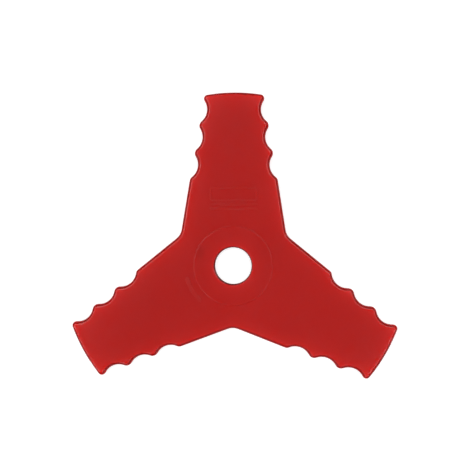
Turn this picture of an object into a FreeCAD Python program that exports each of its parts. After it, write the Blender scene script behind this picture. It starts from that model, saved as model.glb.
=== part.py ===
"""Moulded brush cutter blade with toothed arms, one solid, in millimetres.

The bore's axis is the Z axis. The blade lies flat, resting on the lower land of its hub
at Z = 0, and the first arm points along +Y. Both faces are alike, so that the blade can
be turned over, apart from the raised marks, which are on the upper face alone.
"""
import FreeCAD, Part
import math
import os

# Plan of the blade
arm_count = 3
swept_radius = 120.0            # from the bore's axis to the end of an arm
arm_tip_width = 41.5            # between an arm's two flank lines, at the swept radius
flank_taper = 9.1               # degrees between a flank line and its arm's centre line
root_fillet_radius = 9.6        # hollow corner between neighbouring arms
tip_corner_radius = 2.7         # outer corners of an arm's end

# Hollows along each flank, which leave the teeth between them
notch_count = 3
notch_radius = 10.9
notch_depth = 4.0               # deepest point of a hollow, below the flank line
notch_pitch = 19.45
last_notch_setback = 11.6       # from the arm's end to the centre of the outermost hollow
tooth_rounding = 4.0            # crest between two hollows
shoulder_rounding = 3.4         # where the straight flank meets the first hollow

# Section through the blade
blade_thickness = 6.0
edge_rounding = 2.4             # all along the outline, on both faces

# Hub
bore_diameter = 25.4
bore_edge_rounding = 1.2
hub_land_radius = 26.7          # flat land that the flange clamps
hub_rise = 0.4                  # of the land above the blade's face, on each side
hub_side_run = 0.7              # how far the sloping side of the land reaches outwards
hub_step_rounding = 0.4         # at the top and at the foot of that side

# Raised marks on the upper face, which hold no text
mark_rise = 0.25
mark_edge_rounding = 0.15
mark_root = 0.5                 # how deep a mark's block reaches into the blade
mark_setback = 11.1             # from the hub's foot to the nearest bar on the first arm
mark_gap = 1.5                  # between the bars, and between them and the frame
bar_count = 2
bar_length = 33.0
bar_height = 1.6
bar_corner_radius = 0.7
frame_length = 33.0
frame_height = 9.6
frame_corner_radius = 2.0
frame_rim = 1.3
frame_inner_radius = 0.8
rib_setback = 4.0               # from the hub's foot to the curved rib
rib_width = 2.8
rib_corner_radius = 1.2
rib_start_angle = 194.0         # degrees, anticlockwise from +X
rib_end_angle = 228.0

# No rounding takes more than this share of the wall or corner that it is on
rounding_share = 0.9

SAME = 1e-4
AXIS_POINT = FreeCAD.Vector(0, 0, 0)
ACROSS = FreeCAD.Vector(1, 0, 0)
UP = FreeCAD.Vector(0, 0, 1)

bore_radius = bore_diameter / 2
hub_foot_radius = hub_land_radius + hub_side_run
blade_bottom = hub_rise
blade_top = blade_bottom + blade_thickness
hub_top = blade_top + hub_rise
mark_foot = blade_top - mark_root
mark_top = blade_top + mark_rise
notch_out = notch_radius - notch_depth
taper = math.radians(flank_taper)


def arm_point(along, across):
    """A point of the arm along +Y, by its distance out along the arm and to the right."""
    return FreeCAD.Vector(across, along, 0)


# The right flank line of the arm along +Y
flank_direction = arm_point(math.cos(taper), -math.sin(taper))
flank_outward = arm_point(math.sin(taper), math.cos(taper))
flank_distance = arm_point(swept_radius, arm_tip_width / 2).dot(flank_outward)


def flank_point(along, out=0.0):
    """A point along the flank line and out from it, from the foot of the axis."""
    return flank_outward * (flank_distance + out) + flank_direction * along


def towards(start, goal, distance):
    """The point at a distance from start on the way to goal."""
    step = goal - start
    return start + step * (distance / step.Length)


def arc(start, centre, radius, end):
    """The shorter arc about centre from start to end."""
    middle = towards(centre, (start + end) * 0.5, radius)
    return Part.Arc(start, middle, end).toShape()


def line(start, end):
    """The straight edge from start to end."""
    return Part.LineSegment(start, end).toShape()


def circles_meet(centre_a, radius_a, centre_b, radius_b, side):
    """Where two circles cross, on the side of their centre line that side points to."""
    gap = centre_b - centre_a
    along = (radius_a ** 2 - radius_b ** 2 + gap.Length ** 2) / (2 * gap.Length)
    out = math.sqrt(radius_a ** 2 - along ** 2)
    normal = UP.cross(gap)
    normal.normalize()
    if normal.dot(side) < 0:
        normal = normal * -1
    return towards(centre_a, centre_b, along) + normal * out


def notch_centres():
    """Centres of the hollows in the right flank, from the hub outwards."""
    last_distance = swept_radius - last_notch_setback
    last = (last_distance - flank_point(0, notch_out).y) / flank_direction.y
    first = last - notch_pitch * (notch_count - 1)
    return [flank_point(first + notch_pitch * i, notch_out) for i in range(notch_count)]


def shoulder(notch, radius, side):
    """Centre of the rounding between the flank line and a hollow, inside or past it."""
    reach = notch_radius + radius
    drop = notch_out + radius
    along = notch.dot(flank_direction) + side * math.sqrt(reach ** 2 - drop ** 2)
    return flank_point(along, -radius)


def tooth(inner, outer):
    """Centres of the roundings that end one hollow and begin the next.

    They are one and the same on a pointed tooth. Where the hollows are far apart, the
    tooth is cut off flat along the flank line, and has a rounding at each end.
    """
    reach = notch_radius + tooth_rounding
    if reach > notch_pitch / 2:
        crest = circles_meet(inner, reach, outer, reach, flank_outward * -1)
        if crest.dot(flank_outward) + tooth_rounding <= flank_distance:
            return crest, crest
    return shoulder(inner, tooth_rounding, 1), shoulder(outer, tooth_rounding, -1)


def tip_corner(notch):
    """Centre of the rounding between the outermost hollow and the arm's end."""
    return circles_meet(notch, notch_radius + tip_corner_radius,
                        AXIS_POINT, swept_radius - tip_corner_radius, flank_direction)


def root_edges(flank_start):
    """The hollow corner before the arm, from its middle, and the straight flank."""
    ray = FreeCAD.Rotation(UP, -180 / arm_count).multVec(arm_point(1, 0))
    distance = (flank_distance + root_fillet_radius) / ray.dot(flank_outward)
    centre = ray * distance
    middle = ray * (distance - root_fillet_radius)
    end = flank_point(centre.dot(flank_direction))
    return [arc(middle, centre, root_fillet_radius, end), line(end, flank_start)]


def flank_edges():
    """Edges of the right flank from the root to the arm's end, and the point there."""
    notches = notch_centres()
    crest = shoulder(notches[0], shoulder_rounding, -1)
    radius = shoulder_rounding
    start = crest + flank_outward * radius
    edges = root_edges(start)
    for i, notch in enumerate(notches):
        if i + 1 < notch_count:
            crest_after, next_crest = tooth(notch, notches[i + 1])
            radius_after = tooth_rounding
        else:
            crest_after = next_crest = tip_corner(notch)
            radius_after = tip_corner_radius
        leave = towards(crest, notch, radius)
        meet = towards(crest_after, notch, radius_after)
        edges += [arc(start, crest, radius, leave), arc(leave, notch, notch_radius, meet)]
        start = meet
        if next_crest != crest_after:
            flat_start = crest_after + flank_outward * tooth_rounding
            flat_end = next_crest + flank_outward * tooth_rounding
            edges += [arc(start, crest_after, tooth_rounding, flat_start),
                      line(flat_start, flat_end)]
            start = flat_end
        crest = next_crest
        radius = radius_after
    end = towards(AXIS_POINT, crest, swept_radius)
    edges.append(arc(start, crest, radius, end))
    return edges, end


def outline():
    """The closed outline of the whole blade, at Z = 0."""
    right, end = flank_edges()
    left = [edge.mirror(AXIS_POINT, ACROSS) for edge in right]
    arm_end = arc(end, AXIS_POINT, swept_radius, arm_point(end.y, -end.x))
    edges = []
    for i in range(arm_count):
        for edge in right + [arm_end] + left:
            turned = edge.copy()
            turned.rotate(AXIS_POINT, UP, 360 / arm_count * i)
            edges.append(turned)
    return Part.Wire(Part.sortEdges(edges)[0])


def edges_at(solid, height, radius=None):
    """The solid's edges at this height, or only its circles of this radius there."""
    found = []
    for edge in solid.Edges:
        box = edge.BoundBox
        if abs(box.ZMin - height) > SAME or abs(box.ZMax - height) > SAME:
            continue
        if radius is None:
            found.append(edge)
        elif isinstance(edge.Curve, Part.Circle) and abs(edge.Curve.Radius - radius) < SAME:
            found.append(edge)
    return found


def upright_edges(solid):
    """The solid's straight edges along Z."""
    found = []
    for edge in solid.Edges:
        box = edge.BoundBox
        if box.ZLength > SAME and box.XLength < SAME and box.YLength < SAME:
            found.append(edge)
    return found


def blade_plate():
    """The arms and their teeth, a flat plate with round edges."""
    plate = Part.Face(outline()).extrude(UP * blade_thickness)
    plate.translate(UP * blade_bottom)
    tightest = min(blade_thickness / 2, tip_corner_radius, tooth_rounding, shoulder_rounding)
    rounding = min(edge_rounding, rounding_share * tightest)
    return plate.makeFillet(rounding, edges_at(plate, blade_bottom) + edges_at(plate, blade_top))


def add_hub_lands(plate):
    """The plate with the hub's raised round land on both faces."""
    lower = Part.makeCone(hub_land_radius, hub_foot_radius, hub_rise)
    upper = Part.makeCone(hub_foot_radius, hub_land_radius, hub_rise, UP * blade_top)
    solid = plate.fuse([lower, upper]).removeSplitter()
    steps = []
    for foot_height, land_height in ((blade_bottom, 0.0), (blade_top, hub_top)):
        steps += edges_at(solid, foot_height, hub_foot_radius)
        steps += edges_at(solid, land_height, hub_land_radius)
    slope = math.atan2(hub_rise, hub_side_run)
    side_length = math.hypot(hub_rise, hub_side_run)
    largest = side_length / 2 / math.tan(slope / 2)
    return solid.makeFillet(min(hub_step_rounding, rounding_share * largest), steps)


def cut_bore(solid):
    """The solid with the bore cut through its hub, and both mouths rounded."""
    solid = solid.cut(Part.makeCylinder(bore_radius, hub_top))
    mouths = edges_at(solid, 0.0, bore_radius) + edges_at(solid, hub_top, bore_radius)
    rounding = min(bore_edge_rounding, rounding_share * hub_top / 2)
    return solid.makeFillet(rounding, mouths)


def straight_block(length, height, corner_radius, middle):
    """A mark's block on the first arm, with round corners, its middle this far out."""
    corner = FreeCAD.Vector(-length / 2, middle - height / 2, mark_foot)
    block = Part.makeBox(length, height, mark_top - mark_foot, corner)
    rounding = min(corner_radius, rounding_share * height / 2)
    return block.makeFillet(rounding, upright_edges(block))


def curved_block():
    """The block of the rib that runs round a short way beside the hub."""
    inner_radius = hub_foot_radius + rib_setback
    height = mark_top - mark_foot
    foot = UP * mark_foot
    sweep = rib_end_angle - rib_start_angle
    block = Part.makeCylinder(inner_radius + rib_width, height, foot, UP, sweep)
    block = block.cut(Part.makeCylinder(inner_radius, height, foot))
    block.rotate(AXIS_POINT, UP, rib_start_angle)
    rounding = min(rib_corner_radius, rounding_share * rib_width / 2)
    return block.makeFillet(rounding, upright_edges(block))


def mark_blocks():
    """Blocks of the bars and the empty frame on the first arm, and of the rib."""
    blocks = [curved_block()]
    nearest = hub_foot_radius + mark_setback
    for i in range(bar_count):
        middle = nearest + bar_height / 2
        blocks.append(straight_block(bar_length, bar_height, bar_corner_radius, middle))
        nearest += bar_height + mark_gap
    middle = nearest + frame_height / 2
    frame = straight_block(frame_length, frame_height, frame_corner_radius, middle)
    inside = straight_block(frame_length - 2 * frame_rim, frame_height - 2 * frame_rim,
                            frame_inner_radius, middle)
    blocks.append(frame.cut(inside))
    return blocks


def add_marks(solid):
    """The solid with its raised marks, each with a soft upper edge."""
    rounding = min(mark_edge_rounding, rounding_share * mark_rise)
    marks = [block.makeFillet(rounding, edges_at(block, mark_top)) for block in mark_blocks()]
    return solid.fuse(marks).removeSplitter()


def blade():
    """The whole blade."""
    return add_marks(cut_bore(add_hub_lands(blade_plate())))


os.makedirs("parts", exist_ok=True)
shape = blade()
shape.exportStep("parts/blade.step")
print("blade:", len(shape.Solids), "solid,", "valid" if shape.isValid() else "not valid")
print("volume in cubic centimetres:", round(shape.Volume / 1000, 2))
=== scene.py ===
import math

import bmesh
import bpy
from bpy.props import FloatProperty, FloatVectorProperty, PointerProperty
from mathutils import Matrix, Vector
from mathutils.bvhtree import BVHTree


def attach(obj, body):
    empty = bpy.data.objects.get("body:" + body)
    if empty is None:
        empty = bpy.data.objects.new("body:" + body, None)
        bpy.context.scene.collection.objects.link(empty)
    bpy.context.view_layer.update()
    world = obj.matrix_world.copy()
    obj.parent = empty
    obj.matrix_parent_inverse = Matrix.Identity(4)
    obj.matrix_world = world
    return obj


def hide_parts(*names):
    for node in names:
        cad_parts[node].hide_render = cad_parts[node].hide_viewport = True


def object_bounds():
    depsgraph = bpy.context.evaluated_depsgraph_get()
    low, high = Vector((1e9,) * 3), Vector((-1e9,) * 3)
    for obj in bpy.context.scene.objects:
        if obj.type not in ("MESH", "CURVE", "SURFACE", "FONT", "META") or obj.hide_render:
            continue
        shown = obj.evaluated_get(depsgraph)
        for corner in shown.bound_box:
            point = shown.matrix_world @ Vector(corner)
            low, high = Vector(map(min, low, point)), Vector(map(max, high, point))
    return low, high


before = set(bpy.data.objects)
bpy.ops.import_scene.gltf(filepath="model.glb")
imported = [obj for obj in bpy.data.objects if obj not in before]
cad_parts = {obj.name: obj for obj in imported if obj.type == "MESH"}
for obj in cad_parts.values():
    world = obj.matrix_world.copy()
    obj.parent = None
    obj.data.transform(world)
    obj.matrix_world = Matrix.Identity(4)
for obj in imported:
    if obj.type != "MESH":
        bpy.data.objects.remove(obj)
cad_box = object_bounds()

bl_info = {
    "name": "Brush Cutter Blade",
    "version": (1, 0, 0),
    "blender": (4, 5, 0),
    "location": "View3D > Sidebar > Blade",
    "description": "Finishes a moulded plastic brush cutter blade and sets up its studio",
    "category": "Object",
}

NODE = "blade"
PIECE = "moulded_blade"
EDGE_LIGHT = "edge_light"
MM = 0.001

# Points nearer than a hair are one, and a face whose normal rises more than this is level.
HAIR = 1e-6
LEVEL = 0.99999

# The skin's parts are sorted by their distance from one point and then from the other, so that
# parts equally far from the second keep the order that the first gave them.
ORDER_FROM = ((0.0371, -0.0173, 0.0291), (0.0137, 0.0211, 0.0353))

# The blade's heights, its distances from the bore's axis, and the arms' directions in degrees.
LAND_RISE = 0.4 * MM
UNDERSIDE = cad_box[0].z + LAND_RISE
UPPER_FACE = cad_box[1].z - LAND_RISE
MIDDLE = (cad_box[0].z + cad_box[1].z) / 2
BORE_AND_MOUTHS = 14.0 * MM
CLEAR_OF_THE_BORE = 20.0 * MM
ARM_TURNS = (90, 210, 330)
PIN_REACHES = (44.0 * MM, 94.0 * MM)

# The colours that red turns towards: the gate's darker spot, and a pale tone that paints a sheen on the
# raised edges.
GATE_TONE = (0.02, 0.008, 0.004, 1.0)
PAINTED_SHEEN_TONE = (0.8, 0.5, 0.48, 1.0)

# Ranges that one value is spread over.
RISING = (0.0, 1.0)
FALLING = (1.0, 0.0)
MOST_OF_A_NOISE = (0.3, 0.7)

# The Mix node's colour sockets share their names with others, so they go by number.
MIX_SHARE, MIX_FIRST, MIX_SECOND = 0, 6, 7
MIX_RESULT = 2

# The lamps' names, azimuths and elevations in degrees, and watts.
LAMPS = (
    ("key_lamp", 148, 60, 10.0),
    ("fill_lamp", 42, 60, 9.0),
    ("left_lamp", 215, 51, 7.8),
    ("right_lamp", 322, 55, 7.4),
)

# Every lamp's distance from the blade, and its sides.
LAMP_DISTANCE = 1.6
LAMP_BREADTH = 1.1
LAMP_HEIGHT = 0.42

# The white of the picture, the paper floor, and the little light that the room gives.
WHITE = (1.0, 1.0, 1.0, 1.0)
PALE_GREY = (0.6, 0.6, 0.6, 1.0)
ROOM_LIGHT = 0.08

# How far the floor lies below the blade, and the width of the camera's sensor in millimetres.
FLOOR_GAP = 0.02 * MM
SENSOR_WIDTH = 36.0


class BladeMouldingSettings(bpy.types.PropertyGroup):
    """Small traces that the mould leaves on the blade."""

    parting_height: FloatProperty(
        name="Parting Height",
        description="Height of the line where the two halves of the mould met",
        default=MIDDLE, min=0.0, unit="LENGTH", subtype="DISTANCE",
    )
    parting_width: FloatProperty(
        name="Parting Width",
        description="Half the width of the parting line",
        default=0.14 * MM, min=0.0, unit="LENGTH", subtype="DISTANCE",
    )
    parting_depth: FloatProperty(
        name="Parting Depth",
        description="How far the parting line lies in the edge",
        default=0.06 * MM, min=0.0, unit="LENGTH", subtype="DISTANCE",
    )
    pin_radius: FloatProperty(
        name="Pin Mark Radius",
        description="Radius of the round marks that the ejector pins leave underneath",
        default=3.0 * MM, min=0.0, unit="LENGTH", subtype="DISTANCE",
    )
    pin_depth: FloatProperty(
        name="Pin Mark Depth",
        description="Depth of the ejector pins' marks",
        default=0.15 * MM, min=0.0, unit="LENGTH", subtype="DISTANCE",
    )
    dish_radius: FloatProperty(
        name="Gate Dish Radius",
        description="Radius of the small dish underneath, where the plastic entered the mould",
        default=1.9 * MM, min=0.0, unit="LENGTH", subtype="DISTANCE",
    )
    dish_depth: FloatProperty(
        name="Gate Dish Depth",
        description="Depth of the gate's dish",
        default=0.5 * MM, min=0.0, unit="LENGTH", subtype="DISTANCE",
    )
    cell: FloatProperty(
        name="Cell",
        description="Size of the cells that the flat faces are cut into, to carry the edge light",
        default=3.0 * MM, min=0.5 * MM, unit="LENGTH", subtype="DISTANCE",
    )
    light_reach: FloatProperty(
        name="Light Reach",
        description="How far in from the edge the plastic lets light through",
        default=9.0 * MM, min=0.5 * MM, unit="LENGTH", subtype="DISTANCE",
    )


class BladePlasticSettings(bpy.types.PropertyGroup):
    """The red plastic."""

    colour: FloatVectorProperty(
        name="Colour",
        description="Colour of the plastic",
        default=(0.42, 0.0154, 0.0136), min=0.0, max=1.0, subtype="COLOR",
    )
    spot_place: FloatVectorProperty(
        name="Gate Spot Place",
        description="Where the plastic entered the mould, which leaves a darker spot",
        default=(-23.0 * MM, 8.9 * MM), size=2, unit="LENGTH", subtype="XYZ",
    )
    roughness: FloatProperty(
        name="Roughness",
        description="Roughness of the moulded surface",
        default=0.21, min=0.0, max=1.0, subtype="FACTOR",
    )
    wall_roughness: FloatProperty(
        name="Wall Roughness",
        description="How much rougher the upright walls are, which drag along the opening mould",
        default=0.45, min=0.0, max=1.0, subtype="FACTOR",
    )
    spot: FloatProperty(
        name="Gate Spot",
        description="How dark the gate's spot is",
        default=0.16, min=0.0, max=1.0, subtype="FACTOR",
    )
    # Strength of the pale tone that paints a sheen on the raised marks and the land's edge.
    painted_sheen: FloatProperty(
        name="Painted Sheen",
        description="How strong the pale painted sheen is on the raised marks and the edge of the hub's land",
        default=0.011, min=0.0, max=1.0, subtype="FACTOR",
    )
    glow: FloatProperty(
        name="Edge Glow",
        description="How much lighter the plastic is where light comes through from its edges",
        default=1.55, min=0.0, max=4.0, subtype="FACTOR",
    )
    glow_fall: FloatProperty(
        name="Edge Glow Fall-off",
        description="How fast the edge glow fades inwards",
        default=1.5, min=0.2, max=5.0,
    )
    side_shade: FloatProperty(
        name="Side Shade",
        description="How light the plastic is half-way round the rounded edges, against the faces",
        default=0.42, min=0.0, max=1.0, subtype="FACTOR",
    )
    bore_shade: FloatProperty(
        name="Bore Shade",
        description="How many times as strong the shade is in the bore as round the outer edges",
        default=1.15, min=1.0, max=2.0,
    )
    glow_depth: FloatProperty(
        name="Glow Depth",
        description="How far light travels inside the plastic",
        default=3.0 * MM, min=0.0, unit="LENGTH", subtype="DISTANCE",
    )


class BladeStageSettings(bpy.types.PropertyGroup):
    """Floor and camera."""

    floor_side: FloatProperty(
        name="Floor Side",
        description="Side of the square floor",
        default=6.0, min=0.5, unit="LENGTH", subtype="DISTANCE",
    )
    lens: FloatProperty(
        name="Lens",
        description="Focal length of the camera, in millimetres",
        default=49.8, min=10.0, unit="CAMERA",
    )
    camera_distance: FloatProperty(
        name="Camera Distance",
        description="Distance from the camera to the point that it looks at",
        default=0.45, min=0.1, unit="LENGTH", subtype="DISTANCE",
    )
    aim: FloatVectorProperty(
        name="Aim",
        description="Point that the camera looks at",
        default=(1.08 * MM, 21.24 * MM, MIDDLE), unit="LENGTH", subtype="XYZ",
    )
    lean: FloatVectorProperty(
        name="Lean",
        description="How far the camera leans from straight above, to the right and upwards",
        default=(math.radians(2.829), math.radians(-0.829)), size=2, unit="ROTATION",
    )
    roll: FloatProperty(
        name="Roll",
        description="Turn of the camera about its own axis",
        default=math.radians(0.26), unit="ROTATION", subtype="ANGLE",
    )


def work_alone_on(piece):
    """Makes a piece the only one selected, and the active one."""
    if bpy.context.object and bpy.context.object.mode != "OBJECT":
        bpy.ops.object.mode_set(mode="OBJECT")
    bpy.ops.object.select_all(action="DESELECT")
    piece.select_set(True)
    bpy.context.view_layer.objects.active = piece


def copy_of_the_solid():
    """A copy of the CAD blade with its loose triangles merged into one skin."""
    piece = bpy.data.objects.new(PIECE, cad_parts[NODE].data.copy())
    bpy.context.scene.collection.objects.link(piece)
    work_alone_on(piece)
    piece.data.materials.clear()
    bpy.ops.object.mode_set(mode="EDIT")
    bpy.ops.mesh.select_all(action="SELECT")
    bpy.ops.mesh.remove_doubles(threshold=HAIR)
    bpy.ops.mesh.customdata_custom_splitnormals_clear()
    bpy.ops.object.mode_set(mode="OBJECT")
    return piece


def select_edges(piece, wanted):
    """Selects only the edges whose two ends both pass a test, in edit mode."""
    skin = bmesh.from_edit_mesh(piece.data)
    for edge in skin.edges:
        edge.select_set(all(wanted(corner.co) for corner in edge.verts))
    skin.select_flush_mode()
    bmesh.update_edit_mesh(piece.data)


def select_level_tops(piece):
    """Selects only the faces that look straight up, in edit mode."""
    bpy.ops.mesh.select_all(action="DESELECT")
    skin = bmesh.from_edit_mesh(piece.data)
    for face in skin.faces:
        face.select_set(face.normal.z > LEVEL)
    bmesh.update_edit_mesh(piece.data)


def score_parting_line(piece, settings):
    """Scores the fine line round the outer edge, where the halves of the mould met."""
    height = settings.parting_height

    def on_line(point):
        at_height = abs(point.z - height) < HAIR
        return at_height and math.hypot(point.x, point.y) > CLEAR_OF_THE_BORE

    work_alone_on(piece)
    bpy.ops.object.mode_set(mode="EDIT")
    bpy.ops.mesh.select_all(action="SELECT")
    bpy.ops.mesh.bisect(plane_co=(0, 0, height), plane_no=(0, 0, 1))
    bpy.ops.mesh.select_all(action="DESELECT")
    bpy.ops.mesh.select_mode(type="EDGE")
    select_edges(piece, on_line)
    bpy.ops.mesh.bevel(offset=settings.parting_width, segments=2, affect="EDGES")
    bpy.ops.mesh.select_all(action="DESELECT")
    select_edges(piece, on_line)
    bpy.ops.transform.shrink_fatten(value=-settings.parting_depth)
    bpy.ops.object.mode_set(mode="OBJECT")


def settle_order(piece):
    """Puts the skin's parts in a fixed order, because a cut leaves them in another one each time."""
    cursor = bpy.context.scene.cursor
    work_alone_on(piece)
    bpy.ops.object.mode_set(mode="EDIT")
    bpy.ops.mesh.select_mode(type="VERT")
    bpy.ops.mesh.select_all(action="SELECT")
    for point in ORDER_FROM:
        cursor.location = point
        bpy.ops.mesh.sort_elements(type="CURSOR_DISTANCE", elements={"VERT", "EDGE", "FACE"})
    bpy.ops.object.mode_set(mode="OBJECT")
    cursor.location = (0, 0, 0)


def cut_away(piece, tools):
    """Cuts the shapes of some tools out of a piece."""
    cutter = tools[0]
    work_alone_on(cutter)
    if len(tools) > 1:
        for tool in tools:
            tool.select_set(True)
        bpy.ops.object.join()
    work_alone_on(piece)
    cut = piece.modifiers.new("Cut", "BOOLEAN")
    cut.operation = "DIFFERENCE"
    cut.solver = "EXACT"
    cut.object = cutter
    bpy.ops.object.modifier_apply(modifier=cut.name)
    bpy.data.objects.remove(cutter)
    settle_order(piece)


def press_pin_marks(piece, settings):
    """Presses the ejector pins' round marks into the underside, two on each arm."""
    pin_length = 2 * MM
    height = UNDERSIDE + settings.pin_depth - pin_length / 2
    tools = []
    for degrees in ARM_TURNS:
        turn = math.radians(degrees)
        for reach in PIN_REACHES:
            bpy.ops.mesh.primitive_cylinder_add(
                vertices=48, radius=settings.pin_radius, depth=pin_length,
                location=(reach * math.cos(turn), reach * math.sin(turn), height),
            )
            tools.append(bpy.context.object)
    cut_away(piece, tools)


def dish_the_gate(piece, settings, spot):
    """Sinks a dish in the lower land where the plastic entered, and leaves the sheared stub in it."""
    round_of_the_floor = 0.3 * settings.dish_depth
    from_rim_to_stub = 0.6 * settings.dish_radius
    stub_height = 0.5 * settings.dish_depth
    bpy.ops.mesh.primitive_cylinder_add(
        vertices=40, radius=settings.dish_radius, depth=2 * settings.dish_depth, location=(*spot, 0),
    )
    dish = bpy.context.object
    bpy.ops.object.mode_set(mode="EDIT")
    bpy.ops.mesh.select_mode(type="FACE")
    select_level_tops(dish)
    bpy.ops.mesh.bevel(offset=round_of_the_floor, segments=3, affect="EDGES")
    select_level_tops(dish)
    bpy.ops.mesh.inset(thickness=from_rim_to_stub)
    bpy.ops.transform.translate(value=(0, 0, -stub_height))
    bpy.ops.object.mode_set(mode="OBJECT")
    cut_away(piece, [dish])


def cut_flats_into_cells(piece, cell):
    """Cuts every level face into square cells, then clears the triangles' edges within the cells."""
    slack = 0.01 * MM
    nearly_flat = math.radians(0.3)
    any_quad = math.radians(40)
    level = piece.vertex_groups.new(name="level")
    flats = (face for face in piece.data.polygons if abs(face.normal.z) > LEVEL)
    corners = {corner for face in flats for corner in face.vertices}
    level.add(sorted(corners), 1.0, "REPLACE")
    low, high = (Vector(corner) for corner in cad_box)
    work_alone_on(piece)
    bpy.ops.object.mode_set(mode="EDIT")
    bpy.ops.mesh.select_mode(type="VERT")
    for along, normal in ((0, (1, 0, 0)), (1, (0, 1, 0))):
        count = int((high[along] - low[along]) / cell)
        start = (high[along] + low[along] - count * cell) / 2
        for step in range(count + 1):
            place = [0, 0, 0]
            place[along] = start + step * cell
            bpy.ops.mesh.select_all(action="DESELECT")
            bpy.ops.object.vertex_group_select()
            bpy.ops.mesh.bisect(plane_co=place, plane_no=normal, threshold=slack)
            bpy.ops.mesh.mark_seam()
    bpy.ops.mesh.select_all(action="SELECT")
    bpy.ops.mesh.dissolve_limited(angle_limit=nearly_flat, delimit={"SEAM"})
    bpy.ops.mesh.select_all(action="SELECT")
    bpy.ops.mesh.tris_convert_to_quads(face_threshold=any_quad, shape_threshold=any_quad, seam=True)
    bpy.ops.mesh.select_all(action="SELECT")
    bpy.ops.mesh.mark_seam(clear=True)
    bpy.ops.object.mode_set(mode="OBJECT")
    piece.vertex_groups.clear()


def mark_edge_light(piece, reach):
    """Writes on each vertex how much light comes to it through the plastic from the blade's edges.

    Level rays run to the walls from just inside the skin, at a height below the parting line.
    """
    rays = 24
    inside = 0.3 * MM
    height = MIDDLE - 0.4 * MM
    walls = BVHTree.FromObject(piece, bpy.context.evaluated_depsgraph_get())
    turns = [2 * math.pi * ray / rays for ray in range(rays)]
    ways = [Vector((math.cos(turn), math.sin(turn), 0)) for turn in turns]
    known = {}
    light = piece.data.attributes.new(EDGE_LIGHT, "FLOAT", "POINT")
    for corner in piece.data.vertices:
        spot = (round(corner.co.x, 5), round(corner.co.y, 5))
        if spot not in known:
            start = Vector((*corner.co.xy - corner.normal.xy * inside, height))
            runs = [walls.ray_cast(start, way)[3] for way in ways]
            known[spot] = sum(math.exp(-(run or 0.0) / reach) for run in runs) / rays
        light.data[corner.index].value = known[spot]


def finish_skin(piece):
    """Shades the skin smooth, with flat faces kept flat."""
    sharp_from = math.radians(32)
    work_alone_on(piece)
    bpy.ops.object.shade_smooth_by_angle(angle=sharp_from)
    weighted = piece.modifiers.new("Weighted Normal", "WEIGHTED_NORMAL")
    weighted.keep_sharp = True
    bpy.ops.object.modifier_apply(modifier=weighted.name)


class NodeBench:
    """Places the nodes of one material or world and joins them."""

    def __init__(self, owner):
        owner.use_nodes = True
        self.owner = owner
        self.tree = owner.node_tree
        self.tree.nodes.clear()

    def feed(self, socket, value):
        """Sets a socket, or joins an output to it."""
        if isinstance(value, bpy.types.NodeSocket):
            self.tree.links.new(value, socket)
        else:
            socket.default_value = value

    def add(self, kind, label, place, sockets=(), **choices):
        """Adds a labelled node, makes its choices, and feeds its sockets by name or number."""
        node = self.tree.nodes.new("ShaderNode" + kind)
        node.label = label
        node.location = place
        for choice, value in choices.items():
            setattr(node, choice, value)
        for socket, value in dict(sockets).items():
            self.feed(node.inputs[socket], value)
        return node

    def noise(self, label, place, where, size, detail):
        """A cloudy pattern whose clouds are about a given size in metres."""
        sockets = {"Vector": where, "Scale": 1.0 / size, "Detail": detail}
        return self.add("TexNoise", label, place, sockets).outputs["Fac"]

    def spread(self, label, place, value, before, after):
        """Turns one range of values into another, with soft ends."""
        sockets = {
            "Value": value,
            "From Min": before[0], "From Max": before[1],
            "To Min": after[0], "To Max": after[1],
        }
        node = self.add("MapRange", label, place, sockets, interpolation_type="SMOOTHSTEP")
        return node.outputs["Result"]

    def uneven(self, label, place, noise, middle, swing):
        """A value that a noise makes a little less in one place and a little more in another."""
        return self.spread(label, place, noise, MOST_OF_A_NOISE, (middle - swing, middle + swing))

    def maths(self, label, place, operation, first, second=0.0):
        """What an operation makes of one or two values."""
        sockets = {0: first, 1: second}
        return self.add("Math", label, place, sockets, operation=operation).outputs["Value"]

    def length(self, label, place, vector):
        """The length of a vector."""
        return self.add("VectorMath", label, place, {0: vector}, operation="LENGTH").outputs["Value"]

    def scaled(self, label, place, colour, share):
        """A colour made lighter or darker by a share."""
        sockets = {0: colour, "Scale": share}
        return self.add("VectorMath", label, place, sockets, operation="SCALE").outputs["Vector"]

    def mixed(self, label, place, share, colour, other):
        """A colour turned towards another by a share."""
        sockets = {MIX_SHARE: share, MIX_FIRST: colour, MIX_SECOND: other}
        return self.add("Mix", label, place, sockets, data_type="RGBA").outputs[MIX_RESULT]


def how_level(bench):
    """One where the skin lies level, and zero on an upright wall."""
    facing = bench.add("NewGeometry", "Which way the skin faces", (-1400, 860)).outputs["Normal"]
    upright = bench.add("SeparateXYZ", "Up or sideways", (-1180, 860), {0: facing})
    return bench.maths("How level", (-980, 860), "ABSOLUTE", upright.outputs["Z"])


def inside_the_bore(bench, where):
    """One on the bore's wall and its mouths, and zero further out."""
    ends = (BORE_AND_MOUTHS, BORE_AND_MOUTHS + 1.0 * MM)
    flat = bench.add("Mapping", "Across the axis", (-1180, 1400), {
        "Vector": where, "Scale": (1.0, 1.0, 0.0),
    })
    reach = bench.length("Distance from the axis", (-980, 1400), flat.outputs["Vector"])
    return bench.spread("In the bore", (-780, 1400), reach, ends, FALLING)


def glow_from_edges(bench, settings, edge):
    """How many times lighter the plastic is where light comes through from an edge or a corner."""
    bend = bench.maths("Fall-off inwards", (-1180, 620), "POWER", edge, settings.glow_fall)
    share = bench.maths("Strength of the glow", (-980, 620), "MULTIPLY", bend, settings.glow)
    return bench.maths("Lighter by", (-780, 620), "ADD", share, 1.0)


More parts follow.
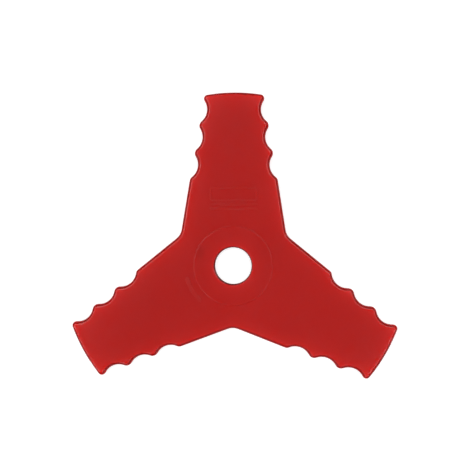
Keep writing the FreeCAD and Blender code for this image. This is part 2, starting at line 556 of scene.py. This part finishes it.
def shade_round_edges(bench, settings, where, edge, level):
    """How light the plastic stays half-way round the rounded edges and all over the bore's wall."""
    near_level = (0.86, 0.999)
    from_wall_up = (0.4, 0.9)
    shade_on_wall = 0.2
    close_to_an_edge = (0.22, 0.36)
    steep = bench.spread("Away from the faces", (-780, 860), level, near_level, FALLING)
    rounding = bench.spread(
        "Away from the upright wall", (-780, 1040), level, from_wall_up, (shade_on_wall, 1.0),
    )
    outer = bench.spread("At the edges only", (-780, 1220), edge, close_to_an_edge, RISING)
    bore = inside_the_bore(bench, where)
    walls = bench.maths("All of the bore's wall", (-560, 1300), "MAXIMUM", rounding, bore)
    turned = bench.maths("On the rounding", (-560, 960), "MULTIPLY", steep, walls)
    side = bench.maths("Round the edges", (-380, 1040), "MULTIPLY", turned, outer)
    darker = bench.maths("Darker by", (-200, 1040), "MULTIPLY", side, settings.side_shade - 1.0)
    times = bench.spread("Stronger in the bore", (-380, 1300), bore, RISING, (1.0, settings.bore_shade))
    darkest = bench.maths("Darkest in the bore", (-20, 1200), "MULTIPLY", darker, times)
    return bench.maths("Light that is left", (140, 1040), "ADD", darkest, 1.0)


# The pale tone mixed in here is a painted sheen, standing in for highlights on the raised edges.
def painted_sheen_on_raised_edges(bench, settings, where):
    """A painted sheen on the tops of the raised marks and the slope of the land, by their height above
    the upper face.
    """
    marks_slope = (UPPER_FACE + 0.05 * MM, UPPER_FACE + 0.2 * MM)
    land_top = (UPPER_FACE + 0.3 * MM, UPPER_FACE + 0.38 * MM)
    height = bench.add("SeparateXYZ", "Height", (-1400, -80), {0: where}).outputs["Z"]
    above = bench.spread("Above the face", (-1180, -40), height, marks_slope, (0.0, settings.painted_sheen))
    below = bench.spread("Below the land's top", (-1180, -160), height, land_top, FALLING)
    return bench.maths("Painted Sheen", (-980, -100), "MULTIPLY", above, below)


def gate_spot(bench, settings, where):
    """A soft dark oval where the plastic entered the mould."""
    width, height = 4.2 * MM, 6.0 * MM
    core, rim = 0.1, 1.2
    spot_x, spot_y = settings.spot_place
    centred = bench.add("Mapping", "Centre on the gate", (-1180, 60), {
        "Vector": where,
        "Location": (-spot_x / width, -spot_y / height, 0.0),
        "Scale": (1 / width, 1 / height, 0.0),
    })
    reach = bench.length("Distance from the gate", (-980, 60), centred.outputs["Vector"])
    return bench.spread("Soft edge of the spot", (-780, 60), reach, (core, rim), (settings.spot, 0.0))


def colour_of_the_plastic(bench, settings, where, level):
    """Cloudy, speckled red with its edge light, shaded edges, gate spot and painted sheen on raised
    edges.
    """
    edge = bench.add("Attribute", "Light from the edges", (-1400, 620), attribute_name=EDGE_LIGHT)
    glow = glow_from_edges(bench, settings, edge.outputs["Fac"])
    shade = shade_round_edges(bench, settings, where, edge.outputs["Fac"], level)
    edges = bench.maths("Glow and shade", (160, 740), "MULTIPLY", glow, shade)
    clouds = bench.noise("Clouds in the colour", (-1180, 360), where, 45 * MM, 3.0)
    clouded = bench.uneven("Depth of the clouds", (-980, 360), clouds, 1.0, 0.025)
    specks = bench.noise("Specks of pigment", (-1180, 220), where, 1.2 * MM, 2.0)
    speckled = bench.uneven("Depth of the specks", (-980, 220), specks, 1.0, 0.015)
    mixed = bench.maths("Clouds and specks", (-780, 300), "MULTIPLY", clouded, speckled)
    tone = bench.maths("Tone", (-560, 400), "MULTIPLY", mixed, edges)
    toned = bench.scaled("Toned red", (-380, 400), tuple(settings.colour), tone)
    spot = gate_spot(bench, settings, where)
    spotted = bench.mixed("Darker at the gate", (-200, 300), spot, toned, GATE_TONE)
    # A painted sheen: a pale tone mixed in on the raised marks and the land's slope.
    painted_sheen = painted_sheen_on_raised_edges(bench, settings, where)
    return bench.mixed("Paler by a painted sheen", (-60, 200), painted_sheen, spotted, PAINTED_SHEEN_TONE)


def roughness_of_the_plastic(bench, settings, where, level):
    """Patches that are a little glossier or duller, and more roughness on the upright walls."""
    near_upright = (0.2, 0.6)
    patches = bench.noise("Patches of gloss", (-1180, -300), where, 16 * MM, 4.0)
    even = bench.uneven("Roughness of the faces", (-780, -300), patches, settings.roughness, 0.025)
    dragged = bench.spread(
        "Rougher on upright walls", (-780, -120), level, near_upright, (settings.wall_roughness, 0.0),
    )
    return bench.maths("Roughness", (-560, -200), "ADD", even, dragged)


def red_plastic(settings):
    """Translucent red moulded plastic with a fine satin grain."""
    bench = NodeBench(bpy.data.materials.new("red_moulded_plastic"))
    where = bench.add("TexCoord", "Place on the blade", (-1600, 0)).outputs["Object"]
    level = how_level(bench)
    grain = bench.noise("Satin grain of the mould", (-1180, -560), where, 0.4 * MM, 2.0)
    bump = bench.add("Bump", "Height of the grain", (-560, -500), {
        "Height": grain, "Strength": 0.3, "Distance": 0.02 * MM,
    })
    plastic = bench.add("BsdfPrincipled", "Plastic", (160, 0), {
        "Base Color": colour_of_the_plastic(bench, settings, where, level),
        "Roughness": roughness_of_the_plastic(bench, settings, where, level),
        "Normal": bump.outputs["Normal"],
        "IOR": 1.5,
        "Specular IOR Level": 0.22,
        "Subsurface Weight": 1.0,
        "Subsurface Radius": (1.0, 0.08, 0.05),
        "Subsurface Scale": settings.glow_depth,
    }, subsurface_method="RANDOM_WALK")
    bench.add("OutputMaterial", "Surface", (460, 0), {"Surface": plastic.outputs["BSDF"]})
    return bench.owner


class OBJECT_OT_moulded_blade(bpy.types.Operator):
    """Finish the moulded blade from its CAD solid"""

    bl_idname = "object.moulded_blade"
    bl_label = "Moulded Blade"
    bl_options = {"REGISTER", "UNDO"}

    def execute(self, context):
        settings = context.scene.blade_moulding
        piece = copy_of_the_solid()
        press_pin_marks(piece, settings)
        dish_the_gate(piece, settings, context.scene.blade_plastic.spot_place)
        cut_flats_into_cells(piece, settings.cell)
        score_parting_line(piece, settings)
        mark_edge_light(piece, settings.light_reach)
        finish_skin(piece)
        piece.data.materials.append(red_plastic(context.scene.blade_plastic))
        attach(piece, "root")
        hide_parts(NODE)
        return {"FINISHED"}


def white_floor():
    """A plain floor that the camera sees white, and that keeps a faint shadow."""
    near, far = 0.2, 1.5
    white_near, white_far = 0.62, 1.0
    bench = NodeBench(bpy.data.materials.new("white_floor"))
    looks = bench.add("LightPath", "Who looks", (-600, 200)).outputs["Is Camera Ray"]
    where = bench.add("TexCoord", "Place on the floor", (-800, 420)).outputs["Object"]
    away = bench.length("Distance from the blade", (-600, 420), where)
    white = bench.spread("Whiter far off", (-400, 420), away, (near, far), (white_near, white_far))
    lift = bench.maths("White for the picture", (-200, 200), "MULTIPLY", looks, white)
    glow = bench.add("Emission", "Paper white", (0, 200), {"Strength": lift})
    paper = bench.add("BsdfDiffuse", "Paper", (0, 0), {"Color": PALE_GREY})
    both = bench.add("AddShader", "Floor", (200, 100), {
        0: glow.outputs["Emission"], 1: paper.outputs["BSDF"],
    })
    bench.add("OutputMaterial", "Surface", (400, 100), {"Surface": both.outputs["Shader"]})
    return bench.owner


def lay_floor(settings):
    """Lays the floor just under the blade."""
    bpy.ops.mesh.primitive_plane_add(size=settings.floor_side, location=(0, 0, -FLOOR_GAP))
    floor = bpy.context.object
    floor.name = "floor"
    floor.data.materials.append(white_floor())


def light_world():
    """An even pale room, white to the camera."""
    bench = NodeBench(bpy.data.worlds.new("pale_room"))
    looks = bench.add("LightPath", "Who looks", (-600, 0)).outputs["Is Camera Ray"]
    level = bench.add("MapRange", "White for the picture", (-400, 0), {
        "Value": looks, "To Min": ROOM_LIGHT, "To Max": 1.0,
    })
    room = bench.add("Background", "Room", (-200, 0), {
        "Color": WHITE, "Strength": level.outputs["Result"],
    })
    bench.add("OutputWorld", "World", (0, 0), {"Surface": room.outputs["Background"]})
    bpy.context.scene.world = bench.owner


def hang_lamp(name, azimuth, elevation, power):
    """Hangs a soft lamp that faces the blade's middle, broad round it and not so high."""
    lamp = bpy.data.objects.new(name, bpy.data.lights.new(name, "AREA"))
    bpy.context.scene.collection.objects.link(lamp)
    turn, rise = math.radians(azimuth), math.radians(elevation)
    flat = math.cos(rise)
    back = Vector((math.cos(turn) * flat, math.sin(turn) * flat, math.sin(rise)))
    lamp.location = back * LAMP_DISTANCE
    lamp.rotation_euler = back.to_track_quat("Z", "Y").to_euler()
    lamp.data.shape = "RECTANGLE"
    lamp.data.size = LAMP_BREADTH
    lamp.data.size_y = LAMP_HEIGHT
    lamp.data.energy = power
    lamp.visible_camera = False


def place_camera(settings):
    """Looks down on the blade as the photograph does."""
    lean_x, lean_y = (math.sin(angle) for angle in settings.lean)
    back = Vector((lean_x, lean_y, math.sqrt(1 - lean_x ** 2 - lean_y ** 2)))
    up = Vector((-math.sin(settings.roll), math.cos(settings.roll), 0))
    right = up.cross(back).normalized()
    true_up = back.cross(right)
    camera = bpy.data.objects.new("camera", bpy.data.cameras.new("camera"))
    bpy.context.scene.collection.objects.link(camera)
    camera.location = Vector(settings.aim) + back * settings.camera_distance
    camera.rotation_euler = Matrix((right, true_up, back)).transposed().to_euler()
    camera.data.sensor_width = SENSOR_WIDTH
    camera.data.lens = settings.lens
    camera.data.clip_start = 0.01
    camera.data.clip_end = 50.0
    bpy.context.scene.camera = camera


class OBJECT_OT_blade_stage(bpy.types.Operator):
    """Set up the floor, the lamps and the camera"""

    bl_idname = "object.blade_stage"
    bl_label = "Blade Stage"
    bl_options = {"REGISTER", "UNDO"}

    def execute(self, context):
        settings = context.scene.blade_stage
        bpy.ops.object.select_all(action="DESELECT")
        lay_floor(settings)
        light_world()
        for lamp in LAMPS:
            hang_lamp(*lamp)
        place_camera(settings)
        context.scene.view_settings.view_transform = "Standard"
        return {"FINISHED"}


class VIEW3D_PT_blade(bpy.types.Panel):
    """Lists the blade's steps and settings"""

    bl_label = "Brush Cutter Blade"
    bl_idname = "VIEW3D_PT_blade"
    bl_space_type = "VIEW_3D"
    bl_region_type = "UI"
    bl_category = "Blade"

    def draw(self, context):
        scene = context.scene
        for title, settings, operator in (
            ("Moulding", scene.blade_moulding, OBJECT_OT_moulded_blade),
            ("Plastic", scene.blade_plastic, None),
            ("Stage", scene.blade_stage, OBJECT_OT_blade_stage),
        ):
            box = self.layout.box()
            box.label(text=title)
            for name in settings.__annotations__:
                box.prop(settings, name)
            if operator:
                box.operator(operator.bl_idname)


CLASSES = (
    BladeMouldingSettings,
    BladePlasticSettings,
    BladeStageSettings,
    OBJECT_OT_moulded_blade,
    OBJECT_OT_blade_stage,
    VIEW3D_PT_blade,
)


def register():
    for kind in CLASSES:
        bpy.utils.register_class(kind)
    bpy.types.Scene.blade_moulding = PointerProperty(type=BladeMouldingSettings)
    bpy.types.Scene.blade_plastic = PointerProperty(type=BladePlasticSettings)
    bpy.types.Scene.blade_stage = PointerProperty(type=BladeStageSettings)


def unregister():
    del bpy.types.Scene.blade_stage
    del bpy.types.Scene.blade_plastic
    del bpy.types.Scene.blade_moulding
    for kind in reversed(CLASSES):
        bpy.utils.unregister_class(kind)


def main():
    register()
    bpy.ops.object.moulded_blade()
    bpy.ops.object.blade_stage()


if __name__ == "__main__":
    main()
